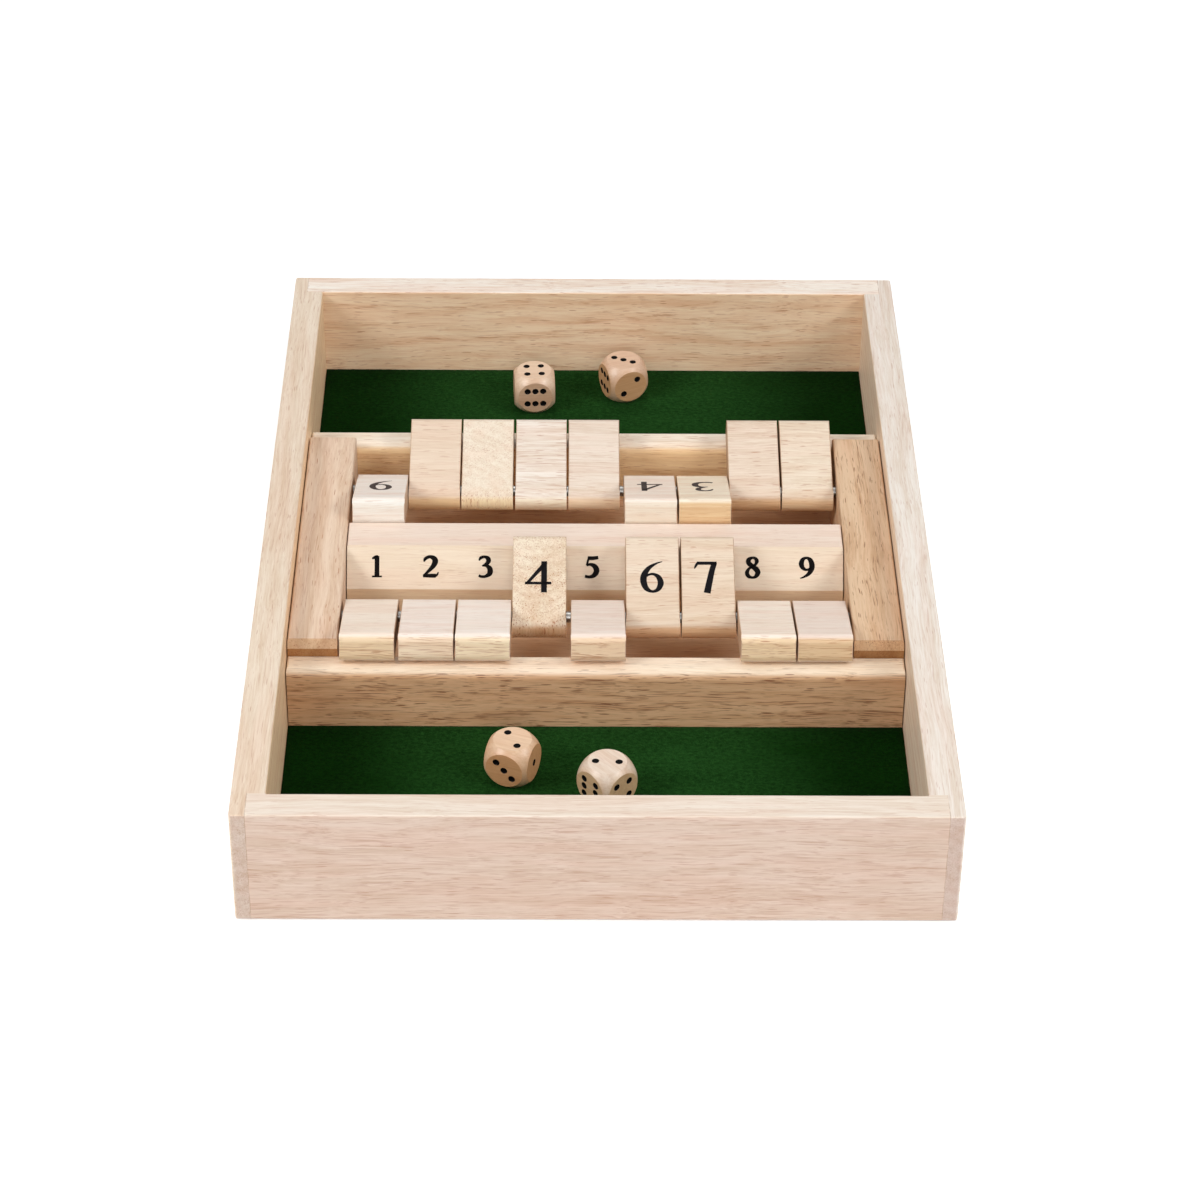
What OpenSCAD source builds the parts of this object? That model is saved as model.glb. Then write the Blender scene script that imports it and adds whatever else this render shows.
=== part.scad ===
// Two-sided shut the box game: an open wooden tray with a felted dice well at
// each end and two rows of nine flip tiles that turn on steel rods.
// X runs across the tray, Y from the near player to the far player, Z up.
// The origin is on the table, under the middle of the tray.

/* [Tray] */
// Height of the wall boards
wall_h = 45; // [42:0.5:60]
// Thickness of the wall boards
wall_t = 11.5; // [9.5:0.1:15]
// Thickness of the side boards' tongues that cover the end boards
tongue_t = 5.2; // [3:0.1:6]
// Length of each dice well, from end board to rail
well_l = 82.4; // [62:0.2:120]
// Rounding of the tray's upright corners
corner_r = 1.6; // [0.6:0.1:3]
// Rounding of the tray's bottom edges
foot_r = 1.4; // [0.6:0.1:2]
// Rounding of the wall boards' top edges
rim_r = 0.7; // [0.3:0.1:1.5]

/* [Base] */
// Thickness of the base panel
base_t = 4; // [3:0.1:5]
// Height of the base panel's underside above the table
base_lift = 4; // [2.5:0.1:6]
// How far the base panel runs into the wall boards
base_bite = 4; // [2:0.1:5]
// Play at the base panel's edges in their grooves
groove_play = 0.2; // [0.1:0.05:0.4]
// Thickness of the felt
felt_t = 0.8; // [0.5:0.1:1.5]
// Gap between the felt and the boards round it
felt_play = 0.2; // [0.1:0.05:0.6]

/* [Rails] */
// Thickness of the two rails beside the wells
rail_t = 9.4; // [7:0.1:14]
// Height of the two rails above the base panel
rail_h = 24; // [21:0.1:26]
// Rounding of a rail's top edge on the near player's side
rail_r = 3.6; // [1:0.1:6]
// Rounding of a rail's other top edge
edge_r = 0.4; // [0.2:0.1:1]
// Height of the centre rail and the cheeks above the base panel
block_h = 29.6; // [28.5:0.1:31]
// Width of the centre rail's flat top
flat_w = 14.2; // [12:0.2:16]
// How far each number slope spreads from the flat top
slope_run = 10.3; // [6:0.1:12]
// How far each number slope falls from the flat top
slope_drop = 12.3; // [8:0.1:16]
// Play between the blocks and the boards beside them
block_play = 0.4; // [0.1:0.05:0.5]
// Rounding of the rails' and cheeks' long edges
arris_r = 0.8; // [0.3:0.1:1.5]

/* [Cheeks] */
// Width of the cheeks that hold the rods
cheek_w = 17.5; // [14:0.1:26]
// Chamfer at the cheeks' ends
cheek_chamfer = 2.6; // [1:0.1:4]

/* [Rods] */
// Diameter of the rods
rod_d = 4; // [3:0.1:5]
// Distance of each rod from the tray's middle
rod_out = 40; // [36:0.2:46]
// Height of the rods' centres above the base panel
rod_up = 21.7; // [20.5:0.1:22.5]
// How far a rod runs into each cheek
rod_grip = 9; // [6:0.1:11]
// Play of a rod in the cheeks, all round
grip_play = 0.03; // [0.01:0.01:0.05]
// Chamfer at the rods' ends
rod_chamfer = 0.5; // [0.2:0.1:1]

/* [Tiles] */
// Width of a tile
tile_w = 19.2; // [16:0.1:24]
// Thickness of a tile
tile_t = 10.4; // [8:0.1:11]
// Length of a tile
tile_l = 40.8; // [38:0.2:43]
// Distance from the rod to a tile's rounded heel
tile_heel = 7.8; // [6.5:0.1:9]
// Rounding of a tile's free end
toe_r = 3; // [1:0.1:3.8]
// Rounding of a tile's side edges
side_r = 0.5; // [0.2:0.1:1]
// Gap between neighbouring tiles
tile_gap = 0.8; // [0.5:0.1:1.5]
// Gap between a row of tiles and the cheeks
row_gap = 1; // [0.6:0.1:2]
// Play of a tile's bore on its rod, all round
bore_play = 0.08; // [0.03:0.01:0.1]
// Gap that is left where a tile leans on an edge
rest_gap = 0.15; // [0.05:0.05:0.3]
// Distance from a rod to the rail that its shut tiles lean on
swing_out = 26.7; // [22:0.1:30]

/* [Dice] */
// Width of a die between opposite faces
die_w = 16; // [14:0.2:18]
// Diameter of the ball that rounds a die's corners
die_ball = 20.9; // [19.8:0.1:24]
// Diameter of a pip
pip_d = 2.6; // [1.6:0.1:2.7]
// Depth of a pip
pip_dish = 0.5; // [0.2:0.05:0.8]
// Distance of the outer pips from the middle of a face
pip_out = 2.85; // [2.5:0.05:3.2]
// Distance between neighbouring pips in the two lines of a six
six_step = 3.1; // [2.8:0.05:3.3]
// Gap that is left under a die
die_gap = 0.05; // [0.02:0.01:0.1]

/* [Hidden] */
$fn = 96;
tiles_in_row = 9;
near = 1;
far = -1;
over = 1;
near_open_tiles = [4, 6, 7];
far_open_tiles = [3, 4, 9];

// How far tiles 1 to 9 have slid along their rod towards the higher numbers,
// as shares of tile_gap
near_slides = [0, 0.75, 0.5, -0.1, 0.95, 0.5, 0.4, 0.2, 0];
far_slides = [0.25, 0.1, -0.5, -0.6, 0.25, 0.1, 0.25, 0, -0.65];

tile_pitch = tile_w + tile_gap;
row_w = tiles_in_row * tile_pitch - tile_gap + 2 * row_gap;
inner_w = row_w + 2 * cheek_w + 2 * block_play;
rail_y = rod_out + swing_out;
inner_l = 2 * (rail_y + rail_t + well_l);
tray_w = inner_w + 2 * wall_t;
tray_l = inner_l + 2 * wall_t;
base_z = base_lift + base_t;
felt_z = base_z + felt_t;
rod_z = base_z + rod_up;

// Tilt of a shut tile, whose flat face lies on a rail's inner top edge, which
// is rounded by r
function lean(r) = atan2(rail_h - rod_up - r, swing_out + r)
    + asin((tile_t / 2 + rest_gap + r) / norm([swing_out + r, rail_h - rod_up - r]));

// An open tile leans with the rounding of its free end on the number slope
slope_angle = atan2(slope_drop, slope_run);
slope_reach = (rod_out - flat_w / 2) * sin(slope_angle)
    - (block_h - rod_up) * cos(slope_angle);
toe_run = tile_l - tile_heel - toe_r;
toe_rise = tile_t / 2 - toe_r;
open_tilt = atan2(toe_rise, toe_run) + slope_angle
    - asin((slope_reach - toe_r - rest_gap) / norm([toe_run, toe_rise]));

// Places of the dice: across the tray, distance from the end board as a
// share of the free length of the well, and turn about the upright
die_left_near = [-28.8, 0.714, -21];
die_right_near = [3.7, 0.518, -48];
die_left_far = [-23.6, 0.251, 4];
die_right_far = [12.1, 0.122, 21];

// Faces of a die in the order top, bottom, front, back, right, left, each
// with its number and the quarter turns of its pattern
faces_left_near = [[2, 0], [5, 0], [3, 0], [4, 0], [1, 0], [6, 0]];
faces_right_near = [[2, 1], [5, 0], [6, 0], [1, 0], [4, 0], [3, 0]];
faces_left_far = [[4, 0], [3, 0], [6, 1], [1, 0], [5, 0], [2, 0]];
faces_right_far = [[3, 0], [4, 0], [2, 1], [5, 0], [1, 0], [6, 1]];

// A rectangle centred on the Y axis and standing on the X axis, with its
// lower corners rounded by low and its upper corners by high
module soft_rect(w, h, low, high) {
    translate([-w / 2, low]) square([w, h - low - high]);
    translate([-w / 2 + low, 0]) square([w - 2 * low, h / 2]);
    translate([-w / 2 + high, h / 2]) square([w - 2 * high, h / 2]);
    for (side = [-1, 1]) {
        translate([side * (w / 2 - low), low]) circle(low);
        translate([side * (w / 2 - high), h - high]) circle(high);
    }
}

// A drawing in Y and Z, drawn out along X
module along_x(l) {
    rotate([90, 0, 90]) linear_extrude(l, center = true) children();
}

// A drawing in X and Z, drawn out along Y
module along_y(l) {
    rotate([90, 0, 0]) linear_extrude(l, center = true) children();
}

// The whole outside of the tray, with its edges sanded round
module tray_block() {
    intersection() {
        linear_extrude(wall_h)
            translate([0, -tray_l / 2]) soft_rect(tray_w, tray_l, corner_r, corner_r);
        along_y(tray_l) soft_rect(tray_w, wall_h, foot_r, rim_r);
        along_x(tray_w) soft_rect(tray_l, wall_h, foot_r, rim_r);
    }
}

// What a groove in the wall boards leaves for the base panel
module base_groove() {
    translate([0, 0, base_lift + base_t / 2])
        cube([inner_w + 2 * base_bite, inner_l + 2 * base_bite, base_t], center = true);
}

// The waste of one inner rim edge of length l, along X at the origin, with
// the board on the +Y side
module rim_waste(l) {
    difference() {
        translate([-l / 2, -over, -rim_r]) cube([l, over + rim_r, rim_r + over]);
        translate([0, rim_r, -rim_r]) rotate([0, 90, 0])
            cylinder(h = l + 2 * over, r = rim_r, center = true);
        translate([-l / 2 - over, rim_r, -rim_r - over])
            cube([l + 2 * over, over, over]);
    }
}

module side_wall(side) {
    color("wheat") intersection() {
        tray_block();
        difference() {
            translate([side * (tray_w - wall_t) / 2, 0, wall_h / 2])
                cube([wall_t, tray_l, wall_h], center = true);
            for (end = [-1, 1])
                translate([side * (tray_w / 2 - tongue_t - wall_t / 2),
                           end * (tray_l - wall_t) / 2, wall_h / 2])
                    cube([wall_t, wall_t, wall_h + 2 * over], center = true);
            base_groove();
            translate([side * inner_w / 2, 0, wall_h]) rotate(-90 * side)
                rim_waste(inner_l);
        }
    }
}

module end_wall(end) {
    color("bisque") intersection() {
        tray_block();
        difference() {
            translate([0, end * (tray_l - wall_t) / 2, wall_h / 2])
                cube([tray_w - 2 * tongue_t, wall_t, wall_h], center = true);
            base_groove();
            translate([0, end * inner_l / 2, wall_h]) rotate(90 - 90 * end)
                rim_waste(inner_w);
        }
    }
}

module base_panel() {
    color("burlywood") translate([0, 0, base_lift + base_t / 2])
        cube([inner_w + 2 * (base_bite - groove_play),
              inner_l + 2 * (base_bite - groove_play), base_t], center = true);
}

module felt(end) {
    color("darkgreen") translate([0, end * (inner_l - well_l) / 2, base_z + felt_t / 2])
        cube([inner_w - 2 * felt_play, well_l - 2 * felt_play, felt_t], center = true);
}

// What rounding by r takes off an upper right corner at the origin
module corner_waste(r) {
    translate([-r, -r]) difference() {
        square(r + over);
        circle(r);
    }
}

// Both rails are rounded on the same side, towards the near player
module rail(end) {
    color("tan") translate([0, end * (rail_y + rail_t / 2), base_z]) intersection() {
        along_x(inner_w) difference() {
            translate([-rail_t / 2, 0]) square([rail_t, rail_h]);
            translate([rail_t / 2, rail_h]) corner_waste(edge_r);
            mirror([1, 0]) translate([rail_t / 2, rail_h]) corner_waste(rail_r);
        }
        along_y(tray_l) soft_rect(inner_w - 2 * block_play, rail_h, arris_r, arris_r);
    }
}

module center_rail() {
    foot = flat_w / 2 + slope_run;
    color("bisque") translate([0, 0, base_z]) intersection() {
        along_x(row_w) polygon([
            [-foot, 0], [foot, 0], [foot, block_h - slope_drop], [flat_w / 2, block_h],
            [-flat_w / 2, block_h], [-foot, block_h - slope_drop]
        ]);
        along_y(tray_l) soft_rect(row_w - 2 * block_play, block_h, arris_r, arris_r);
    }
}

module cheek(side) {
    half = rail_y - block_play / 2;
    color("burlywood") difference() {
        translate([side * (row_w + cheek_w) / 2, 0, base_z]) intersection() {
            along_x(cheek_w) polygon([
                [-half, 0], [half, 0], [half, block_h - cheek_chamfer],
                [half - cheek_chamfer, block_h], [cheek_chamfer - half, block_h],
                [-half, block_h - cheek_chamfer]
            ]);
            along_y(tray_l) soft_rect(cheek_w, block_h, arris_r, arris_r);
        }
        for (row = [near, far])
            translate([side * row_w / 2, -row * rod_out, rod_z]) rotate([0, 90, 0])
                cylinder(h = 2 * (rod_grip + block_play), d = rod_d + 2 * grip_play,
                         center = true);
    }
}

module rod(row) {
    half = row_w / 2 + rod_grip;
    color("silver") translate([0, -row * rod_out, rod_z]) rotate([0, 90, 0])
        rotate_extrude() polygon([
            [0, -half], [rod_d / 2 - rod_chamfer, -half], [rod_d / 2, rod_chamfer - half],
            [rod_d / 2, half - rod_chamfer], [rod_d / 2 - rod_chamfer, half], [0, half]
        ]);
}

// The side view of a tile: its rod at the origin, heel at -Y, free end at +Y
module tile_profile() {
    heel_r = tile_t / 2;
    toe = tile_l - tile_heel;
    translate([heel_r - tile_heel, 0]) circle(heel_r);
    translate([heel_r - tile_heel, -heel_r])
        square([tile_l - heel_r - toe_r, tile_t]);
    translate([0, toe_r - heel_r]) square([toe, tile_t - 2 * toe_r]);
    for (face = [-1, 1])
        translate([toe - toe_r, face * (heel_r - toe_r)]) circle(toe_r);
}

// A tile lying level with its number up, its free end towards +Y
module tile() {
    difference() {
        intersection() {
            along_x(tile_w) tile_profile();
            translate([0, 0, -tile_t / 2])
                along_y(2 * tile_l) soft_rect(tile_w, tile_t, side_r, side_r);
            translate([0, -tile_l, 0]) linear_extrude(tile_t, center = true)
                soft_rect(tile_w, 2 * tile_l - tile_heel, side_r, side_r);
        }
        rotate([0, 90, 0])
            cylinder(h = tile_w + 2 * over, d = rod_d + 2 * bore_play, center = true);
    }
}

// Tile n of a row, turned up by tilt and slid by a share of tile_gap
module placed_tile(row, n, tilt, slide) {
    color(n % 2 == 0 ? "moccasin" : "wheat")
        rotate(90 - 90 * row)
            translate([(n - (tiles_in_row + 1) / 2) * tile_pitch + slide * tile_gap,
                       -rod_out, rod_z])
                rotate([tilt, 0, 0]) tile();
}

module front_tile(n) {
    open = len(search(n, near_open_tiles)) > 0;
    placed_tile(near, n, open ? open_tilt : 180 - lean(edge_r), near_slides[n - 1]);
}

module back_tile(n) {
    open = len(search(n, far_open_tiles)) > 0;
    placed_tile(far, n, open ? open_tilt : 180 - lean(rail_r), far_slides[n - 1]);
}

// Places of the pips of a number, in steps of pip_out
function pips(n) =
    n == 1 ? [[0, 0]] :
    n == 2 ? [[-1, 1], [1, -1]] :
    n == 3 ? [[-1, 1], [0, 0], [1, -1]] :
    n == 4 ? [[-1, 1], [1, 1], [-1, -1], [1, -1]] :
    n == 5 ? concat(pips(4), pips(1)) :
    [for (u = [-1, 1], v = [-1, 0, 1]) [u, v * six_step / pip_out]];

// The dished pips of one face, cut into a face that looks along +Z
module pip_dishes(face) {
    ball_r = (pip_d * pip_d / 4 + pip_dish * pip_dish) / (2 * pip_dish);
    rotate(90 * face[1])
        for (p = pips(face[0]))
            translate([p[0] * pip_out, p[1] * pip_out, die_w / 2 + ball_r - pip_dish])
                sphere(ball_r);
}

// A die with faces, at place in the well at the given end
module die(faces, place, end) {
    turns = [[0, 0, 0], [180, 0, 0], [90, 0, 0], [90, 0, 180], [90, 0, 90], [90, 0, -90]];
    free_l = well_l - die_ball;
    color("peachpuff")
        translate([place[0], end * (inner_l / 2 - die_ball / 2 - place[1] * free_l),
                   felt_z + die_gap + die_w / 2])
            rotate(place[2]) difference() {
                intersection() {
                    cube(die_w, center = true);
                    sphere(d = die_ball);
                }
                for (i = [0:5])
                    rotate(turns[i]) pip_dishes(faces[i]);
            }
}

side_wall(-1);  // left_wall
side_wall(1);  // right_wall
end_wall(-1);  // front_wall
end_wall(1);  // back_wall
base_panel();
felt(-1);  // front_felt
felt(1);  // back_felt
rail(-1);  // front_rail
rail(1);  // back_rail
center_rail();
cheek(-1);  // left_cheek
cheek(1);  // right_cheek
rod(near);  // front_rod
rod(far);  // back_rod
front_tile(1);  // front_tile_1
front_tile(2);  // front_tile_2
front_tile(3);  // front_tile_3
front_tile(4);  // front_tile_4
front_tile(5);  // front_tile_5
front_tile(6);  // front_tile_6
front_tile(7);  // front_tile_7
front_tile(8);  // front_tile_8
front_tile(9);  // front_tile_9
back_tile(1);  // back_tile_1
back_tile(2);  // back_tile_2
back_tile(3);  // back_tile_3
back_tile(4);  // back_tile_4
back_tile(5);  // back_tile_5
back_tile(6);  // back_tile_6
back_tile(7);  // back_tile_7
back_tile(8);  // back_tile_8
back_tile(9);  // back_tile_9
die(faces_left_near, die_left_near, -1);  // front_die_left
die(faces_right_near, die_right_near, -1);  // front_die_right
die(faces_left_far, die_left_far, 1);  // back_die_left
die(faces_right_far, die_right_far, 1);  // back_die_right
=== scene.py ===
"""Looks of the two-sided shut the box game: wood, felt, steel, ink, light and camera."""
import math
import bmesh
import bpy
from mathutils import Euler, Matrix, Vector, noise


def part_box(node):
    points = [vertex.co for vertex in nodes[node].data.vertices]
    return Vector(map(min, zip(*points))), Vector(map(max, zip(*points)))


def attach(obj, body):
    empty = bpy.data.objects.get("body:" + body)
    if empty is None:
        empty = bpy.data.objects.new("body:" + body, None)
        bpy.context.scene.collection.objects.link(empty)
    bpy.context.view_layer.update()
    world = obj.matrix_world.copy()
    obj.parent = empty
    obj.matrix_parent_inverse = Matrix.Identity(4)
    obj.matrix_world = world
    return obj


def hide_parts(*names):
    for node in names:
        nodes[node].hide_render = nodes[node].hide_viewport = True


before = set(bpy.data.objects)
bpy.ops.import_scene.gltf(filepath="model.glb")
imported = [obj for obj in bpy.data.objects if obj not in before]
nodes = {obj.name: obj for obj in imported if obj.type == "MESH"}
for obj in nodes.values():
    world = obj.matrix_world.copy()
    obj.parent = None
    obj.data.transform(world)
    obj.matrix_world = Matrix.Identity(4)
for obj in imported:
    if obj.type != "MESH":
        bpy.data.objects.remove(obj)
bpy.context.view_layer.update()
MM = 0.001

# Sizes that the looks share with the solids, in millimetres.
ROD_OUT = 40.0            # distance of each rod from the middle
ROD_Z = 29.7              # height of the rods
TILE_PITCH = 20.0         # distance between neighbouring tiles
TILE_T = 10.4             # thickness of a tile
OPEN_TILT = 19.834        # degrees above level, leaning on the number slope
# In what follows the near row is 1 and the far row, which is turned round, is -1.
SHUT_TILT = {1: 16.230, -1: 14.707}   # degrees above level, leaning on each row's rail
OPEN_TILES = {1: (4, 6, 7), -1: (3, 4, 9)}
SLIDES = {1: (0, 0.6, 0.4, -0.08, 0.76, 0.4, 0.32, 0.16, 0),
          -1: (0.2, 0.08, -0.4, -0.48, 0.2, 0.08, 0.2, 0, -0.52)}   # along the rod
BLOCK_TOP = 37.6          # top of the centre rail
FLAT_W = 14.2             # its flat top
SLOPE_RUN, SLOPE_DROP = 10.3, 12.3    # how far its slopes spread and fall
JOINT_X = 114.8           # where the end boards meet the side boards' tongues
DIE_W = 16.0
PIP_D, PIP_DISH = 2.6, 0.5            # width and depth of a pip
PIP_OUT, SIX_STEP = 2.85, 3.1         # steps between pips, the second along a six's rows
DICE = {                  # turn about the upright, then number and quarter turns
    # of the top, bottom, front, back, right and left faces
    "front_die_left": (-21, [(2, 0), (5, 0), (3, 0), (4, 0), (1, 0), (6, 0)]),
    "front_die_right": (-48, [(2, 1), (5, 0), (6, 0), (1, 0), (4, 0), (3, 0)]),
    "back_die_left": (4, [(4, 0), (3, 0), (6, 1), (1, 0), (5, 0), (2, 0)]),
    "back_die_right": (21, [(3, 0), (4, 0), (2, 1), (5, 0), (1, 0), (6, 1)]),
}


# ---------------------------------------------------------------- node helpers

def srgb(r, g, b):
    """A colour written as 0 to 255 values, as Blender's linear RGBA."""
    def linear(v):
        v /= 255
        return v / 12.92 if v <= 0.04045 else ((v + 0.055) / 1.055) ** 2.4
    return (linear(r), linear(g), linear(b), 1.0)


class Tree:
    """Short calls for building a material's nodes."""

    def __init__(self, name):
        self.material = bpy.data.materials.new(name)
        self.material.use_nodes = True
        self.tree = self.material.node_tree
        self.tree.nodes.clear()
        self.out = self.tree.nodes.new("ShaderNodeOutputMaterial")

    def add(self, kind, inputs=None, **settings):
        n = self.tree.nodes.new(kind)
        for key, value in settings.items():
            setattr(n, key, value)
        for key, value in (inputs or {}).items():
            if isinstance(value, bpy.types.NodeSocket):
                self.tree.links.new(value, n.inputs[key])
            else:
                n.inputs[key].default_value = value
        return n

    def math(self, op, a, b=0.0, clamp=False):
        return self.add("ShaderNodeMath", {0: a, 1: b}, operation=op, use_clamp=clamp).outputs[0]

    def vector(self, op, a, b=(0, 0, 0), c=(0, 0, 0)):
        return self.add("ShaderNodeVectorMath", {0: a, 1: b, 2: c}, operation=op).outputs[0]

    def parts(self, vector):
        """The three numbers of a vector."""
        return self.add("ShaderNodeSeparateXYZ", {0: vector}).outputs

    def place_mm(self, turn=(0, 0, 0), shift=(0, 0, 0)):
        """Where a point is in the object's own axes, in millimetres, turned and then shifted."""
        coords = self.add("ShaderNodeTexCoord").outputs["Object"]
        return self.add("ShaderNodeMapping", {
            "Vector": coords, "Rotation": turn, "Scale": (1000, 1000, 1000), "Location": shift,
        }, vector_type="POINT").outputs[0]

    def ramp(self, value, low, high, to_low=0.0, to_high=1.0):
        """value eased from low..high to to_low..to_high, and held outside."""
        return self.add("ShaderNodeMapRange", {
            "Value": value, "From Min": low, "From Max": high, "To Min": to_low, "To Max": to_high,
        }, interpolation_type="SMOOTHSTEP").outputs[0]

    def mix(self, factor, a, b, blend="MIX"):
        return self.add("ShaderNodeMix", {0: factor, 6: a, 7: b}, data_type="RGBA",
                        blend_type=blend, clamp_factor=True).outputs[2]

    def noise(self, vector, scale, detail=2.0, roughness=0.5):
        return self.add("ShaderNodeTexNoise", {
            "Vector": self.vector("MULTIPLY", vector, scale), "Scale": 1.0, "Detail": detail,
            "Roughness": roughness,
        }).outputs["Fac"]

    def facing(self, axis):
        """How far the surface faces along axis: 1 straight, 0 across."""
        normal = self.add("ShaderNodeTexCoord").outputs["Normal"]
        return self.add("ShaderNodeVectorMath", {0: normal, 1: axis},
                        operation="DOT_PRODUCT").outputs["Value"]

    def bump(self, height, strength, distance):
        return self.add("ShaderNodeBump", {
            "Height": height, "Strength": strength, "Distance": distance,
        }).outputs[0]

    def camera_sees(self):
        """1 for the camera's rays, also by way of a mirror or glass, and 0 for light."""
        rays = self.add("ShaderNodeLightPath").outputs
        mirrored = self.math("MAXIMUM", rays["Is Glossy Ray"], rays["Is Transmission Ray"])
        return self.math("MAXIMUM", rays["Is Camera Ray"], mirrored)

    def surface(self, **inputs):
        bsdf = self.add("ShaderNodeBsdfPrincipled",
                        {k.replace("_", " "): v for k, v in inputs.items()})
        self.tree.links.new(bsdf.outputs[0], self.out.inputs["Surface"])
        return self.material


# ---------------------------------------------------------------- materials

PORE = srgb(172, 104, 66)
BLUSH = (0.985, 0.94, 0.925, 1)       # what the pinker streaks multiply the colour by
GLUE = srgb(160, 122, 92)
RUBBED = (1.05, 1.05, 1.04, 1)        # what a worn edge multiplies the colour by

# How often each layer of the figure repeats in a millimetre: along the grain, then across it.
DRIFT_SCALE = (0.022, 0.05, 0.05)
SWAY_SCALE = (0.012, 0.03, 0.03)
WOBBLE_SCALE = (0.03, 0.25, 0.25)
FIBRE_SCALE = (0.055, 1.5, 1.5)
BAND_SCALE = (0.016, 0.42, 0.42)
PATCH_SCALE = (0.012, 0.06, 0.06)
BLUSH_SCALE = (0.014, 0.17, 0.17)
CROWD_SCALE = (0.02, 0.2, 0.2)
THIN_PORE_SCALE = (0.075, 2.3, 2.3)
SHORT_PORE_SCALE = (0.14, 1.9, 1.9)
GLUE_SCALE = (0.4, 0.4, 0.2)
WEAR_SCALE = (0.12, 0.5, 0.5)

LOG_STEP = 97.0                       # millimetres of the log between two seeds
DRIFT = (0.0, 5.0, 5.0)               # how far fibres stray across the grain, in millimetres
SWAY, WOBBLE = 26, 2.5                # how far rings stray, in millimetres
FIBRE, BAND, PATCH = 3.0, 1.5, 2.0    # how strong each layer is
PALER, DEEPER = (0.06, 0.09, 0.12), (0.11, 0.17, 0.23)   # the figure's reach in red, green, blue
PORE_DARKNESS = 0.8
COLOUR_TURN, PORE_TURN = (0.6, 0.92), (0.5, 0.9)   # facing between which a side's look comes in
WEAR_REACH = (0.4, 1.3)               # distances from an edge between which wear fades
BUMP = (0.35, 0.00006)                # strength and depth, in metres

# Directions that a face can look to.
TO_LEFT, TO_RIGHT, TO_FRONT = (-1, 0, 0), (1, 0, 0), (0, -1, 0)
TO_SLOPE, TO_CHAMFER = (0, -0.766, 0.643), (0, -0.8, 0.6)


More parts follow.
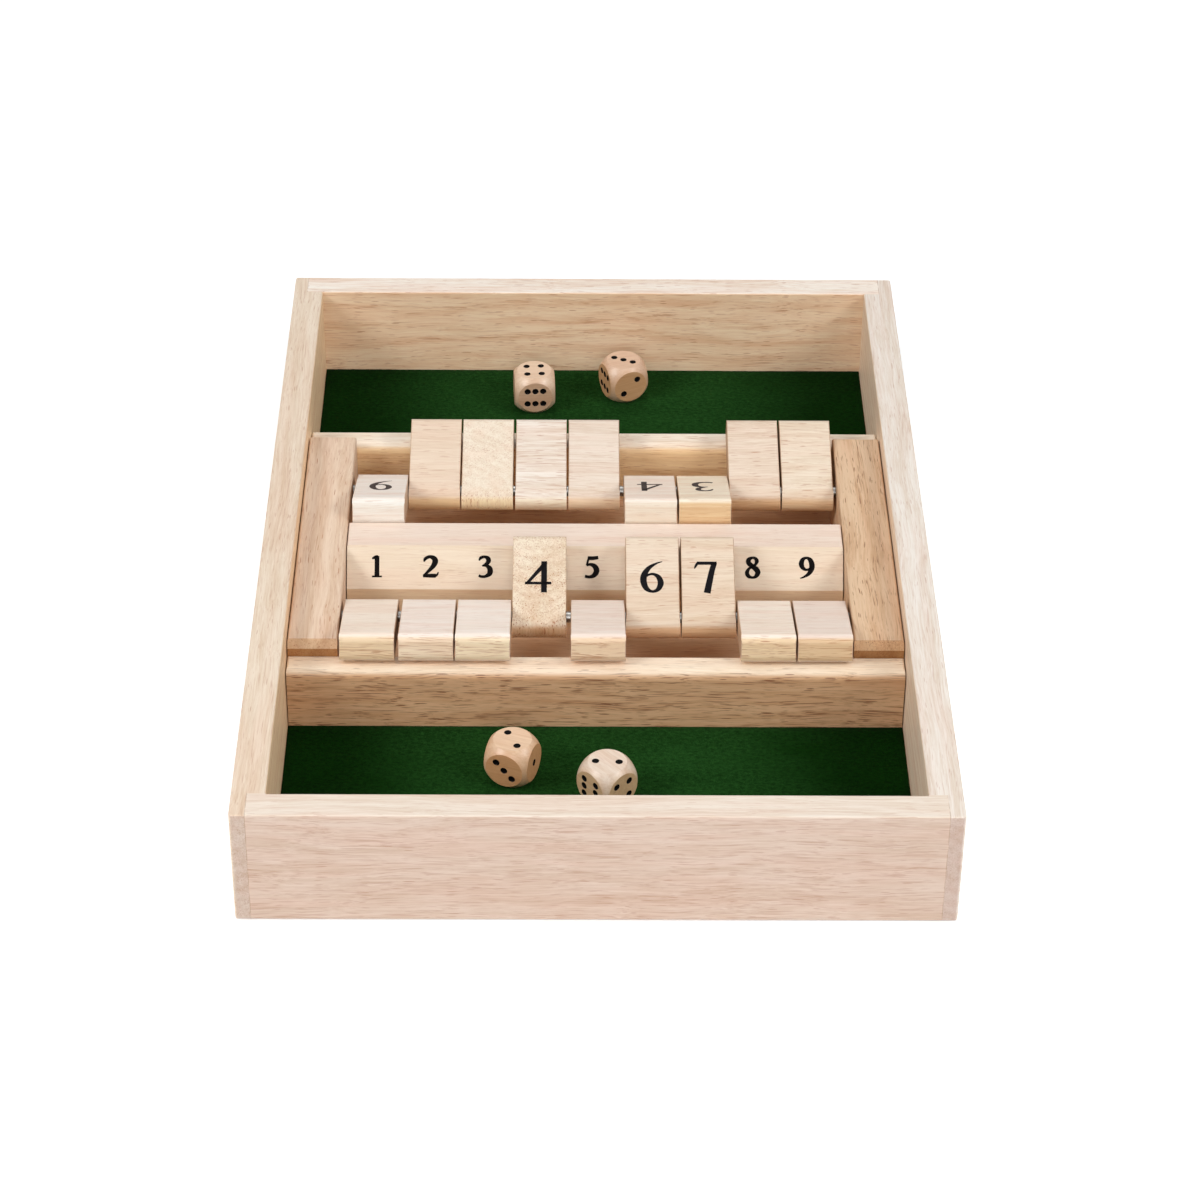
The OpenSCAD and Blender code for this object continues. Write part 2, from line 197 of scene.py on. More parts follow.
def wood(name, tone, seed, turn=(0, 0, 0), place=Matrix(), box=None, face_tints_and_shade=(), spread=1.0,
         pore=PORE, pores=1.0, rings=0.25, ring_gap=5.0, patches=0.5, pith=(30, -40), gloss=0.1,
         roughness=0.5, seam_x=None, bold=None):
    """Rubberwood: pale and pinkish, fine fibres and thin pores along the grain.

    The grain runs along X of the object's own axes, turned by turn (degrees).
    tone is the piece's colour and spread the contrast of its figure. seed shifts
    the piece in the log, and pith says where the log's heart is, across the grain
    in millimetres, so the rings come out right on every face.
    face_tints_and_shade lists directions, and the colour of the faces that look
    there: in part end grain, and in part painted light and shade, faces made
    lighter or darker for how the light falls on them. bold is a direction, and how
    much stronger the pores are there.
    seam_x is where a glue line crosses the board, at both ends.
    box is the piece's low and high corner in the axes of place: its edges there
    are a little worn.
    """
    t = Tree("wood_" + name)
    base = srgb(*tone)[:3]
    pale = [min(0.97, c * (1 + k * spread)) for c, k in zip(base, PALER)] + [1]
    deep = [c * (1 - k * spread) for c, k in zip(base, DEEPER)] + [1]
    turned = Euler([math.radians(a) for a in turn]).to_matrix().inverted().to_euler()
    straight = t.place_mm(turned, Vector((LOG_STEP, 0.0, 0.0)) * seed)
    drift = t.add("ShaderNodeTexNoise", {
        "Vector": t.vector("MULTIPLY", straight, DRIFT_SCALE), "Scale": 1.0, "Detail": 2.0,
    }).outputs["Color"]
    drift = t.vector("SUBTRACT", drift, (0.5, 0.5, 0.5))
    p = t.vector("MULTIPLY_ADD", drift, DRIFT, straight)

    # Rings round the log's heart, and the softer layers of the figure.
    across = t.add("ShaderNodeMapping", {
        "Vector": p, "Location": (0, -pith[0], -pith[1]),
    }, vector_type="POINT").outputs[0]
    _, side, up = t.parts(across)
    sway = t.math("MULTIPLY", t.math("SUBTRACT", t.noise(p, SWAY_SCALE, 2), 0.5), SWAY)
    wobble = t.math("MULTIPLY", t.math("SUBTRACT", t.noise(p, WOBBLE_SCALE, 3), 0.5), WOBBLE)
    radius = t.math("SQRT", t.math("ADD", t.math("POWER", t.math("ADD", side, sway), 2),
                                   t.math("POWER", up, 2)))
    phase = t.math("MULTIPLY", t.math("ADD", radius, wobble), 2 * math.pi / ring_gap)
    ring = t.ramp(t.math("SINE", phase), -0.9, 1.0)
    fibre = t.noise(p, FIBRE_SCALE, 5, 0.72)
    band = t.noise(p, BAND_SCALE, 4, 0.6)
    patch = t.noise(p, PATCH_SCALE, 2)
    shade = t.math("ADD", 0.45, t.math("MULTIPLY", t.math("SUBTRACT", ring, 0.5),
                                       t.math("MULTIPLY", band, 2 * rings)))
    for part, strength in ((fibre, FIBRE), (band, BAND), (patch, PATCH * patches)):
        shade = t.math("ADD", shade, t.math("MULTIPLY", t.math("SUBTRACT", part, 0.5), strength))
    colour = t.mix(shade, pale, deep)
    blush = t.ramp(t.noise(p, BLUSH_SCALE, 3), 0.42, 0.66)
    colour = t.mix(blush, colour, t.mix(1.0, colour, BLUSH, "MULTIPLY"))

    # Pores: thin dashes and short ones along the grain. They crowd in the dark
    # part of a ring.
    crowd = t.math("ADD", t.math("MULTIPLY", ring, 0.035),
                   t.math("MULTIPLY", t.noise(p, CROWD_SCALE, 2), 0.16))
    darkness = PORE_DARKNESS * pores
    if bold:
        way, factor = bold
        strong = t.ramp(t.facing(way), *PORE_TURN)
        crowd = t.math("ADD", crowd, t.math("MULTIPLY", strong, 0.05))
        darkness = t.math("ADD", darkness, t.math("MULTIPLY", strong, darkness * (factor - 1)))
    thin = t.math("ADD", t.noise(p, THIN_PORE_SCALE, 2, 0.6), crowd)
    thin = t.math("MULTIPLY", t.ramp(thin, 0.66, 0.84), 0.65)
    pore_cell = t.add("ShaderNodeTexVoronoi", {
        "Vector": t.vector("MULTIPLY", p, SHORT_PORE_SCALE), "Scale": 1.0, "Randomness": 1.0,
    })
    size, depth, _ = t.add("ShaderNodeSeparateColor", {0: pore_cell.outputs["Color"]}).outputs
    reach = t.math("SUBTRACT", t.math("ADD", size, crowd), 0.36)
    reach = t.math("MULTIPLY", reach, 0.5)
    short = t.ramp(t.math("SUBTRACT", reach, pore_cell.outputs["Distance"]), 0.0, 0.11)
    short = t.math("MULTIPLY", short, t.ramp(depth, 0.0, 1.0, 0.3, 0.9))
    dash = t.math("MULTIPLY", t.math("MAXIMUM", thin, short), darkness, clamp=True)
    colour = t.mix(dash, colour, pore)

    # Painted light and shade, and end grain: a face that looks along one of these directions takes
    # its own colour, lighter or darker for how the light falls on it.
    for way, grain_and_shade_tone in face_tints_and_shade:
        share = [a / b for a, b in zip(srgb(*grain_and_shade_tone), base)]
        tinted = t.vector("MULTIPLY", colour, share)
        colour = t.mix(t.ramp(t.facing(way), *COLOUR_TURN), colour, tinted)

    if seam_x is not None:
        # The glue line where this board meets the tongues of the side boards.
        x = t.math("MULTIPLY", t.parts(t.add("ShaderNodeTexCoord").outputs["Object"])[0], 1000)
        glue = t.ramp(t.math("SUBTRACT", t.math("ABSOLUTE", x), seam_x), -0.38, -0.1)
        patchy = t.ramp(t.noise(p, GLUE_SCALE, 2), 0.3, 0.6, 0.1, 0.6)
        colour = t.mix(t.math("MULTIPLY", glue, patchy), colour, GLUE)

    # Worn edges: the middle one of the distances from the three pairs of faces
    # is small along an edge. Handling has rubbed it paler and smoother.
    low, high = (Vector(v) for v in (box or [Vector(c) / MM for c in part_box(name)]))
    home = place.inverted()
    own = t.place_mm(home.to_euler(), home.translation / MM - (low + high) / 2)
    a, b, c = t.parts(t.vector("SUBTRACT", (high - low) / 2, t.vector("ABSOLUTE", own)))
    nearest, rest = t.math("MINIMUM", a, b), t.math("MINIMUM", t.math("MAXIMUM", a, b), c)
    edge = t.math("ADD", t.math("MAXIMUM", nearest, rest),
                  t.math("MULTIPLY", t.noise(p, WEAR_SCALE, 3), 1.1))
    worn = t.ramp(edge, *WEAR_REACH, 1.0, 0.0)
    colour = t.mix(t.math("MULTIPLY", worn, 0.8), colour, t.mix(1.0, colour, RUBBED, "MULTIPLY"))

    height = t.math("SUBTRACT", t.math("MULTIPLY", fibre, 0.5), dash)
    rough = t.math("ADD", roughness - 0.08, t.math("MULTIPLY", fibre, 0.16))
    rough = t.math("SUBTRACT", rough, t.math("MULTIPLY", worn, 0.06))
    return t.surface(Base_Color=colour, Roughness=rough, Normal=t.bump(height, *BUMP),
                     Specular_IOR_Level=0.35, Coat_Weight=gloss, Coat_Roughness=0.32)


FELT_DARK, FELT_PALE = srgb(9, 41, 7), srgb(33, 75, 29)
# Painted shade at the sheet's ends, where the end walls fall across it.
FELT_END_SHADE = (0.18, 0.39, 0.12, 1)      # what the sheet's ends multiply the colour by


def felt_material():
    t = Tree("green_felt")
    p = t.place_mm()
    nap = t.noise(p, (2.6, 2.6, 2.6), 4, 0.7)
    tufts = t.noise(p, (0.55, 0.9, 0.9), 3, 0.6)
    brushed = t.noise(p, (0.03, 0.06, 0.06), 2)
    tone = t.math("ADD", t.math("MULTIPLY", nap, 0.5), t.math("MULTIPLY", tufts, 0.35))
    tone = t.math("ADD", tone, t.math("MULTIPLY", brushed, 0.15))
    colour = t.mix(t.ramp(tone, 0.36, 0.64), FELT_DARK, FELT_PALE)
    # Painted shade: the colour darkens towards the ends of the sheet, where the end walls shade
    # it.
    out = t.math("ABSOLUTE", t.parts(p)[0])
    out = t.math("ADD", out, t.math("MULTIPLY", t.math("SUBTRACT", brushed, 0.5), 60))
    colour = t.mix(t.ramp(out, 38, 100), colour, t.mix(1.0, colour, FELT_END_SHADE, "MULTIPLY"))
    return t.surface(Base_Color=colour, Roughness=0.95, Normal=t.bump(tone, 0.9, 0.0004),
                     Sheen_Weight=0.01, Sheen_Roughness=0.5, Specular_IOR_Level=0.02)


def steel_material():
    t = Tree("bright_steel")
    p = t.place_mm()
    turning = t.noise(p, (9.0, 0.6, 0.6), 3, 0.6)
    stain = t.noise(p, (0.4, 0.5, 0.5), 2)
    colour = t.mix(t.ramp(stain, 0.35, 0.7), srgb(168, 166, 162), srgb(120, 118, 114))
    rough = t.math("ADD", 0.22, t.math("MULTIPLY", turning, 0.16))
    return t.surface(Base_Color=colour, Metallic=1.0, Roughness=rough,
                     Normal=t.bump(turning, 0.15, 0.00004))


def ink_material(name, body, worn):
    """Printed or painted black, a little uneven where it sits on the grain."""
    t = Tree(name)
    grain = t.noise(t.place_mm(), (0.3, 2.4, 2.4), 4, 0.65)
    colour = t.mix(t.ramp(grain, 0.52, 0.78, 0.0, 0.8), body, worn)
    rough = t.math("ADD", 0.5, t.math("MULTIPLY", grain, 0.25))
    return t.surface(Base_Color=colour, Roughness=rough, Normal=t.bump(grain, 0.3, 0.00004),
                     Specular_IOR_Level=0.06)


def dress(node, material):
    """Gives a CAD node its material."""
    data = nodes[node].data
    data.materials.clear()
    data.materials.append(material)


# Colours of the wooden pieces: the whole piece, then the faces that differ. Those faces are
# painted light and shade, lighter or darker for how the light falls on them, and in part end
# grain.
TONES = {
    "front_wall": [(233, 218, 202), (220, 197, 180)],
    "back_wall": [(249, 233, 219), (246, 213, 179)],
    "left_wall": [(231, 212, 190), (250, 220, 181), (210, 190, 175)],
    "right_wall": [(235, 224, 212), (240, 218, 193), (208, 186, 173)],
    "base_panel": [(236, 198, 162)],
    "front_rail": [(241, 220, 194), (214, 173, 133)],
    "back_rail": [(245, 231, 211), (250, 218, 170)],
    "center_rail": [(238, 217, 200), (255, 224, 186), (225, 212, 200)],
    "left_cheek": [(226, 200, 175), (179, 134, 90), (217, 185, 150)],
    "right_cheek": [(215, 181, 146), (164, 121, 78), (206, 166, 125)],
    "front_tile_1": [(247, 231, 214), (241, 215, 178)],
    "front_tile_2": [(248, 233, 221), (247, 225, 196)],
    "front_tile_3": [(250, 236, 224), (250, 232, 199)],
    "front_tile_4": [(230, 212, 187), (212, 174, 135)],
    "front_tile_5": [(242, 224, 210), (244, 217, 183)],
    "front_tile_6": [(227, 207, 184), (227, 185, 144)],
    "front_tile_7": [(224, 203, 179), (222, 182, 141)],
    "front_tile_8": [(247, 230, 213), (243, 216, 177)],
    "front_tile_9": [(239, 221, 207), (232, 201, 160)],
    "back_tile_1": [(230, 213, 191), (232, 202, 164)],
    "back_tile_2": [(226, 205, 184), (218, 178, 136)],
    "back_tile_3": [(250, 231, 207), (226, 190, 146)],
    "back_tile_4": [(250, 232, 217), (233, 216, 196)],
    "back_tile_5": [(226, 208, 190), (247, 219, 185)],
    "back_tile_6": [(234, 221, 207), (250, 235, 209)],
    "back_tile_7": [(236, 221, 200), (250, 230, 190)],
    "back_tile_8": [(228, 206, 183), (234, 198, 152)],
    "back_tile_9": [(250, 238, 228), (238, 232, 223)],
    "front_die_left": [(226, 192, 159), (216, 164, 118)],
    "front_die_right": [(230, 210, 191), (220, 186, 146)],
    "back_die_left": [(230, 202, 175), (212, 175, 145)],
    "back_die_right": [(219, 185, 158), (205, 159, 116)],
}

ALONG_Y = (0, 0, 90)
BOARDS = {
    # turn of the grain, directions of the faces that differ (painted light and shade, and in part
    # end grain), and what sets the board's figure
    "front_wall": ((0, 0, 0), [TO_FRONT], dict(
        pith=(60, -70), seam_x=JOINT_X, pores=0.5, rings=0.2, spread=0.85, bold=(TO_FRONT, 1.3))),
    "back_wall": ((0, 0, 0), [TO_FRONT], dict(
        pith=(210, -30), seam_x=JOINT_X, rings=0.4, ring_gap=6, spread=1.1)),
    "left_wall": (ALONG_Y, [TO_RIGHT, TO_FRONT], dict(pith=(150, 90), pores=0.7)),
    "right_wall": (ALONG_Y, [TO_LEFT, TO_FRONT], dict(pith=(-150, 120), pores=0.6)),
    "base_panel": ((0, 0, 0), [], dict(pith=(40, -300), ring_gap=9, gloss=0.0, roughness=0.62)),
    "front_rail": ((0, 0, 0), [TO_FRONT], dict(
        pith=(-60, -30), rings=0.3, pore=srgb(124, 76, 46), bold=(TO_FRONT, 1.35))),
    "back_rail": ((0, 0, 0), [TO_FRONT], dict(pith=(90, -20), rings=0.3)),
    "center_rail": ((0, 0, 0), [TO_FRONT, TO_SLOPE], dict(pith=(20, -60), pores=0.5, spread=0.5)),
    "left_cheek": (ALONG_Y, [TO_FRONT, TO_CHAMFER], dict(
        pith=(60, 10), rings=0.4, ring_gap=7, spread=1.0, pores=1.1, patches=0.2)),
    "right_cheek": (ALONG_Y, [TO_FRONT, TO_CHAMFER], dict(
        pith=(-80, 20), rings=0.5, ring_gap=6, spread=1.3, pores=1.5, pore=srgb(140, 92, 58))),
}
for i, (board, (turn, ways, look)) in enumerate(BOARDS.items()):
    tones = TONES[board]
    dress(board, wood(board, tones[0], i + 1, turn, face_tints_and_shade=list(zip(ways, tones[1:])), **look))
steel = steel_material()
dress("front_rod", steel)
dress("back_rod", steel)


# ---------------------------------------------------------------- tiles

def tile_place(row, number):
    """The tile's own axes in the row frame: rod at the origin, free end at +Y, number at +Z."""
    tilt = OPEN_TILT if number in OPEN_TILES[row] else 180 - SHUT_TILT[row]
    turn = Matrix.Rotation(0 if row == 1 else math.pi, 4, "Z")
    x = (number - 5) * TILE_PITCH + SLIDES[row][number - 1]
    step = Matrix.Translation(Vector((x, -ROD_OUT, ROD_Z)) * MM)
    return turn @ step @ Matrix.Rotation(math.radians(tilt), 4, "X")


# What sets each tile's figure. Its grain runs across the tile, but for those in
# END_GRAIN, where it runs through the thickness.
END_GRAIN = ("front_tile_4", "back_tile_7")
TILE_LOOKS = {
    "front_tile_1": dict(spread=0.5, pores=0.5),
    "front_tile_2": dict(spread=0.6, pores=0.5),
    "front_tile_3": dict(spread=0.45, pores=0.5),
    "front_tile_4": dict(spread=1.2, patches=1.0, pores=2.0),
    "front_tile_5": dict(spread=0.6, pores=0.5),
    "front_tile_6": dict(spread=0.8, patches=1.0),
    "front_tile_7": dict(spread=0.9, patches=0.8),
    "front_tile_8": dict(spread=0.8, pores=0.5),
    "front_tile_9": dict(spread=0.5, pores=0.5),
    "back_tile_1": dict(spread=1.0),
    "back_tile_2": dict(spread=1.1),
    "back_tile_3": dict(pores=0.6),
    "back_tile_4": dict(pores=0.4, spread=0.7),
    "back_tile_5": dict(spread=1.1, pores=0.6),
    "back_tile_6": dict(spread=1.1, rings=0.5),
    "back_tile_7": dict(spread=0.8),
    "back_tile_8": dict(spread=0.65, pores=0.7),
    "back_tile_9": dict(spread=0.7, pores=0.4),
}
ALL_TILES = dict(rings=0.2, gloss=0.15, roughness=0.45)
# The flanks are end grain, and their colour is also painted shade: it darkens the gaps between the
# tiles.
FLANK_GRAIN_AND_SHADE = (0.82, 0.74, 0.66)  # end grain beside the face, as shares of the face's colour
TOE_PORES = 2.2             # how much stronger the pores are on the near shut tiles' free ends
TILE_BOX = ((-9.6, -7.8, -5.2), (9.6, 33.0, 5.2))
FIRST_TILE_SEED = 20
for i, (tile, look) in enumerate(TILE_LOOKS.items()):
    row = 1 if tile.startswith("front") else -1
    number = int(tile[-1])
    place = tile_place(row, number)
    tilt = math.degrees(place.to_euler()[0])
    turn = (tilt, 90, 0) if tile in END_GRAIN else (tilt + i % 3 * 2 - 2, 0, 0)
    # Painted light and shade: the free end and the heel take their own colour, for how the light
    # falls on them.
    face, end_shade_tone = TONES[tile]
    toe, heel = (place.to_3x3() @ Vector((0, y, 0)) for y in (1, -1))
    faces = [(toe, end_shade_tone), (heel, end_shade_tone)]
    # Painted shade, with end grain: the flanks are darker, so the gaps between tiles look dark.
    if tile not in END_GRAIN:
        flank_grain_and_shade = [c * k for c, k in zip(face, FLANK_GRAIN_AND_SHADE)]
        faces += [(TO_LEFT, flank_grain_and_shade), (TO_RIGHT, flank_grain_and_shade)]
    bold = (toe, TOE_PORES) if row == 1 and number not in OPEN_TILES[row] else None
    pith = (25 + 13 * (i % 5), -30 - 9 * (i % 4))
    dress(tile, wood(tile, face, FIRST_TILE_SEED + i, turn, place, TILE_BOX, faces,
                     ring_gap=4 + i % 3, bold=bold, pith=pith, **{**ALL_TILES, **look}))


# ---------------------------------------------------------------- numerals

# Pen strokes of the numerals: x, y and half width in hundredths of the height.
NUMERALS = {
    1: [[(31, 0, 8.5), (31, 50, 8), (31, 98, 8)], [(36, 99, 2), (24, 93, 5), (8, 85, 2.2)],
        [(8, 2.6, 2.6), (54, 2.6, 2.6)]],
    2: [[(7, 72, 1.8), (13, 86, 5), (30, 95, 5.5), (47, 88, 8), (52, 73, 8.8), (45, 53, 7.5),
         (27, 30, 5), (8, 9, 3)],
        [(3, 6.5, 5), (30, 7, 6.5), (54, 7, 6.8)], [(50, 7, 6), (60, 12, 3), (65, 24, 1.2)]],
    3: [[(5, 78, 1.8), (13, 91, 5), (28, 95.5, 4.5), (42, 89, 7), (45, 76, 7.5), (36, 62, 5.5),
         (18, 53, 2)],
        [(18, 54, 2), (37, 54, 5), (51, 40, 8.5), (50, 18, 8.3), (33, 5, 5), (15, 4, 4.5),
         (4, 9, 4.2)]],
    4: [[(51, 0, 7.6), (51, 99, 7.6)], [(1, 29.5, 4.2), (70, 29.5, 4.2)],
        [(6, 28, 4), (53, 91, 6)]],
    5: [[(17, 91, 6.5), (40, 91, 6.3), (61, 94, 5.5)], [(21, 93, 3), (12, 57, 2.6)],
        [(12, 57, 2.6), (28, 62, 5), (46, 53, 8), (54, 33, 9), (44, 12, 7.5), (24, 4, 5),
         (5, 7, 5)]],
    6: [[(58, 99, 1.2), (42, 93, 3), (22, 78, 6), (10, 56, 8.3), (8.5, 34, 8.5), (16, 13, 7),
         (31, 4, 4), (46, 11, 6.2), (53, 30, 8), (48, 49, 6.8), (35, 59, 4.2), (22, 57, 3.4),
         (11, 47, 2.4)]],
    7: [[(9, 94.5, 5.2), (61, 94.5, 5.2)], [(12, 98, 2.5), (7, 88, 3.6), (2, 77, 1.4)],
        [(55, 96, 7), (47, 66, 7.6), (34, 0, 9)]],
    8: [[(33, 96, 4), (18, 88, 6.5), (16, 73, 7.3), (28, 59, 7.6), (45, 45, 8.6), (54, 27, 8),
         (46, 9, 5.5), (32, 4, 4), (16, 10, 6), (10, 26, 6.2), (17, 43, 4.4), (31, 55, 3.2),
         (44, 65, 4), (50, 79, 5.6), (45, 91, 5.2), (33, 96, 4)]],
}
NUMERALS[9] = [[(62 - x, 100 - y, w) for x, y, w in stroke] for stroke in NUMERALS[6]]
STROKE_STEPS = 10


def smooth_stroke(points):
    """The stroke's points, eased into a smooth curve that passes through each of them."""
    p = [Vector(q) for q in points]
    if len(p) == 2:
        return p
    closed = (p[0] - p[-1]).length < 1e-6
    p = [p[-2] if closed else 2 * p[0] - p[1]] + p + [p[1] if closed else 2 * p[-1] - p[-2]]
    curve = []
    for a, b, c, d in zip(p, p[1:], p[2:], p[3:]):
        for k in range(STROKE_STEPS):
            s = k / STROKE_STEPS
            curve.append(0.5 * (2 * b + (c - a) * s + (2 * a - 5 * b + 4 * c - d) * s * s
                                + (3 * b - a - 3 * c + d) * s ** 3))
    return curve + [p[-2]]


def write_numeral(bm, number, place, height, weight=1.0, wide=1.0, least=0.0):
    """Adds a numeral to bm, flat on the XY plane of place and centred there.

    weight multiplies the strokes' widths and least is added to them. wide
    multiplies the numeral's width.
    """
    strokes = NUMERALS[number]
    xs = [q[0] for stroke in strokes for q in stroke]
    middle = Vector(((min(xs) + max(xs)) / 2, 50, 0))
    for stroke in strokes:
        curve = smooth_stroke(stroke)
        rails = []
        for i, q in enumerate(curve):
            ahead = curve[min(i + 1, len(curve) - 1)] - curve[max(i - 1, 0)]
            side = Vector((-ahead.y, ahead.x, 0)).normalized() * (q.z * weight + least)
            at = Vector((q.x, q.y, 0)) - middle
            pair = [(at + s * side) * Vector((wide, 1, 1)) * height / 100 for s in (1, -1)]
            rails.append([bm.verts.new(place @ v) for v in pair])
        for (a, b), (c, d) in zip(rails, rails[1:]):
            bm.faces.new((a, b, d, c))


def finish_piece(bm, name, material, body):
    """Turns bm into a named piece that rides on a body."""
    mesh = bpy.data.meshes.new(name)
    bm.to_mesh(mesh)
    bm.free()
    piece = bpy.data.objects.new(name, mesh)
    bpy.context.scene.collection.objects.link(piece)
    mesh.materials.append(material)
    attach(piece, body)
    return piece


INK_LIFT = 0.03           # the print stands this far off the wood
TILE_NUMERAL = 13.7       # height of a tile's numeral
TILE_NUMERAL_Y = {1: 13.9, -1: 13.0}   # its middle, from the rod
TILE_ASIDE = {            # and beside the tile's middle, where it isn't on it
    "front_tile_4": -0.5, "front_tile_6": 0.2, "front_tile_7": -0.8,
    "back_tile_9": -0.35, "back_tile_3": -0.35,
}
RAIL_NUMERAL = 7.85       # height of a numeral on the slopes
RAIL_WEIGHT, RAIL_LEAST = 1.25, 0.9   # its strokes' weight, and what is added to each
RAIL_UP = 0.35            # its middle, up the slope from the slope's middle
RAIL_PITCH = 19.5         # distance between these numerals
RAIL_SHIFT = -1.3         # the middle one's place beside the middle of the rail
RAIL_USUAL_WIDE = 1.1     # its width beside the pen strokes'
RAIL_WIDE = {1: 1.0, 2: 1.15, 3: 1.09, 8: 1.14}   # widths that differ from the usual one

# The far row's numerals take a paler colour than the near row's.
TILE_INKS = {
    1: ink_material("tile_ink", srgb(17, 15, 18), srgb(40, 36, 37)),
    -1: ink_material("far_row_tile_ink", srgb(70, 61, 59), srgb(104, 92, 84)),
}
rail_ink = ink_material("rail_ink", srgb(9, 6, 6), srgb(28, 20, 17))

for tile in TILE_LOOKS:
    row = 1 if tile.startswith("front") else -1
    number = int(tile[-1])
    bm = bmesh.new()
    at = Vector((TILE_ASIDE.get(tile, 0), TILE_NUMERAL_Y[row], TILE_T / 2 + INK_LIFT))
    lift = Matrix.Translation(at * MM)
    write_numeral(bm, number, tile_place(row, number) @ lift, TILE_NUMERAL * MM)
    finish_piece(bm, tile + "_numeral", TILE_INKS[row], tile)

slope = math.atan2(SLOPE_DROP, SLOPE_RUN)
slope_middle = Vector((0, -(FLAT_W + SLOPE_RUN) / 2, BLOCK_TOP - SLOPE_DROP / 2))
for side, name in ((1, "front_slope_numerals"), (-1, "back_slope_numerals")):
    bm = bmesh.new()
    for number in range(1, 10):
        along = RAIL_SHIFT + (number - 5) * RAIL_PITCH
        place = (Matrix.Rotation(0 if side == 1 else math.pi, 4, "Z")
                 @ Matrix.Translation(slope_middle * MM) @ Matrix.Rotation(slope, 4, "X")
                 @ Matrix.Translation(Vector((along, RAIL_UP, INK_LIFT)) * MM))
        write_numeral(bm, number, place, RAIL_NUMERAL * MM, RAIL_WEIGHT,
                      RAIL_WIDE.get(number, RAIL_USUAL_WIDE), RAIL_LEAST)
    finish_piece(bm, name, rail_ink, "tray")


# ---------------------------------------------------------------- dice

FACE_TURNS = [(0, 0), (180, 0), (90, 0), (90, 180), (90, 90), (90, -90)]   # tip, then spin
FIRST_DIE_SEED = 60
PIP_SIDES, PIP_RINGS = 28, 5
PAINT = 0.02              # thickness of the paint in a pip


def pip_spots(n):
    """Places of the pips of a number, in steps."""
    if n == 6:
        return [(u, v * SIX_STEP / PIP_OUT) for u in (-1, 1) for v in (-1, 0, 1)]
    spots = {1: [(0, 0)], 2: [(-1, 1), (1, -1)], 3: [(-1, 1), (0, 0), (1, -1)],
             4: [(-1, 1), (1, 1), (-1, -1), (1, -1)]}
    return spots[4] + spots[1] if n == 5 else spots[n]


def paint_pip(bm, place):
    """A shallow dish of paint that lies in a pip, whose middle is at the origin of place."""
    ball = (PIP_D ** 2 / 4 + PIP_DISH ** 2) / (2 * PIP_DISH)
    heart = ball - PIP_DISH
    reach = math.acos((heart + PAINT * 0.5) / (ball - PAINT))
    rings = [[bm.verts.new(place @ Vector((0, 0, (heart - ball + PAINT) * MM)))]]
    for i in range(1, PIP_RINGS + 1):
        a = reach * i / PIP_RINGS
        r, z = (ball - PAINT) * math.sin(a), heart - (ball - PAINT) * math.cos(a)
        rings.append([bm.verts.new(place @ (Vector((r * math.cos(w), r * math.sin(w), z)) * MM))
                      for w in (2 * math.pi * k / PIP_SIDES for k in range(PIP_SIDES))])
    for k in range(PIP_SIDES):
        j = (k + 1) % PIP_SIDES
        bm.faces.new((rings[0][0], rings[1][k], rings[1][j]))
        for inner, outer in zip(rings[1:], rings[2:]):
            bm.faces.new((inner[k], outer[k], outer[j], inner[j]))


pip_paint = ink_material("pip_paint", srgb(8, 7, 7), srgb(22, 18, 16))
for i, (die, (yaw, faces)) in enumerate(DICE.items()):
    low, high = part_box(die)
    yaw = math.radians(yaw)
    heart = Matrix.Translation((Vector(low) + Vector(high)) / 2) @ Matrix.Rotation(yaw, 4, "Z")
    bm = bmesh.new()
    for (number, quarters), (tip, spin) in zip(faces, FACE_TURNS):
        face = (Matrix.Rotation(math.radians(spin), 4, "Z")
                @ Matrix.Rotation(math.radians(tip), 4, "X")
                @ Matrix.Translation((0, 0, DIE_W / 2 * MM))
                @ Matrix.Rotation(quarters * math.pi / 2, 4, "Z"))
        for u, v in pip_spots(number):
            paint_pip(bm, heart @ face @ Matrix.Translation(Vector((u, v, 0)) * PIP_OUT * MM))
    for f in bm.faces:
        f.smooth = True
    finish_piece(bm, die + "_pips", pip_paint, die)
    # Painted shade: faces that look along the die's four upright sides, flats and ball alike, take
    # the darker second colour; the top doesn't.
    ball, upright_shade = TONES[die]
    ways = [Matrix.Rotation(yaw + q * math.pi / 2, 3, "Z") @ Vector((1, 0, 0)) for q in range(4)]
    half = Vector((DIE_W, DIE_W, DIE_W)) / 2
    dress(die, wood(die, ball, FIRST_DIE_SEED + i, (0, 0, math.degrees(yaw)), heart, (-half, half),
                    [(way, upright_shade) for way in ways], spread=0.8, pith=(30, -12 - 5 * i), rings=0.2,
                    ring_gap=3.5, patches=0.3, pores=0.3, gloss=0.5, roughness=0.4))


# ---------------------------------------------------------------- felt

FELT_CELL = 3.0           # size of the sheet's cells
FELT_EDGE = 0.35          # width of its round edge
FELT_DROP = 0.4           # how far the edge falls, as a share of the thickness
FELT_SWELL, SWELL_SCALE = 0.05, 60    # unevenness of the top, and how often it repeats in a metre


